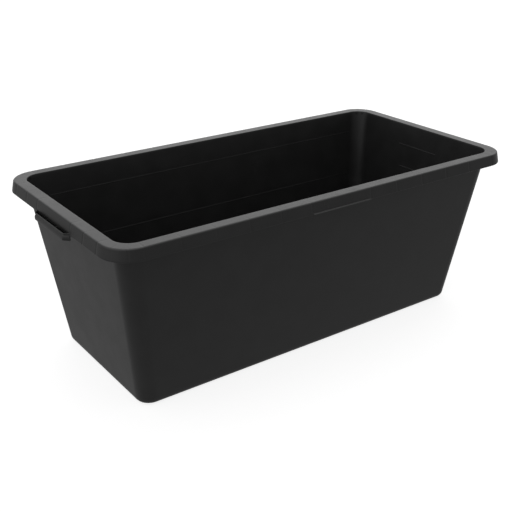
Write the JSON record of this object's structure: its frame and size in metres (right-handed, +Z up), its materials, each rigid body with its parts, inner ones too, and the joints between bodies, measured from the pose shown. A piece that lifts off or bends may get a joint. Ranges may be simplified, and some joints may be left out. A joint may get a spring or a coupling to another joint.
{
  "type": "mortar mixing tub",
  "caption": "Open rectangular mixing tub with drafted walls, a turned-down ribbed rim, a grip trough on each end and a finger ledge on each long side.",
  "frame": {"origin": "middle of the underside of the floor", "axes": "+X along the tub's length, +Y across it, +Z up towards the open top"},
  "size_m": [0.7952, 0.3984, 0.291],
  "materials": {
    "black_plastic": "satin moulded polyethylene, dark grey-black, lightly scuffed"
  },
  "bodies": {
    "root": {"base_edge_front": "black_plastic", "base_edge_left": "black_plastic", "base_edge_rear": "black_plastic", "base_edge_right": "black_plastic", "corner_front_left": "black_plastic", "corner_front_right": "black_plastic", "corner_rear_left": "black_plastic", "corner_rear_right": "black_plastic", "floor_panel": "black_plastic", "grip_left_back": "black_plastic", "grip_left_ends": "black_plastic", "grip_left_floor": "black_plastic", "grip_left_ribs": "black_plastic", "grip_left_wall": "black_plastic", "grip_right_back": "black_plastic", "grip_right_ends": "black_plastic", "grip_right_floor": "black_plastic", "grip_right_ribs": "black_plastic", "grip_right_wall": "black_plastic", "ledge_front": "black_plastic", "ledge_rear": "black_plastic", "level_lines_front": "black_plastic", "level_lines_rear": "black_plastic", "level_marks_left": "black_plastic", "level_marks_right": "black_plastic", "rim_corner_front_left": "black_plastic", "rim_corner_front_right": "black_plastic", "rim_corner_rear_left": "black_plastic", "rim_corner_rear_right": "black_plastic", "rim_flange_front": "black_plastic", "rim_flange_left": "black_plastic", "rim_flange_rear": "black_plastic", "rim_flange_right": "black_plastic", "rim_ribs_front": "black_plastic", "rim_ribs_left": "black_plastic", "rim_ribs_rear": "black_plastic", "rim_ribs_right": "black_plastic", "rim_skirt_front": "black_plastic", "rim_skirt_left": "black_plastic", "rim_skirt_rear": "black_plastic", "rim_skirt_right": "black_plastic", "wall_front": "black_plastic", "wall_left": "black_plastic", "wall_rear": "black_plastic", "wall_right": "black_plastic"}
  },
  "joints": []
}
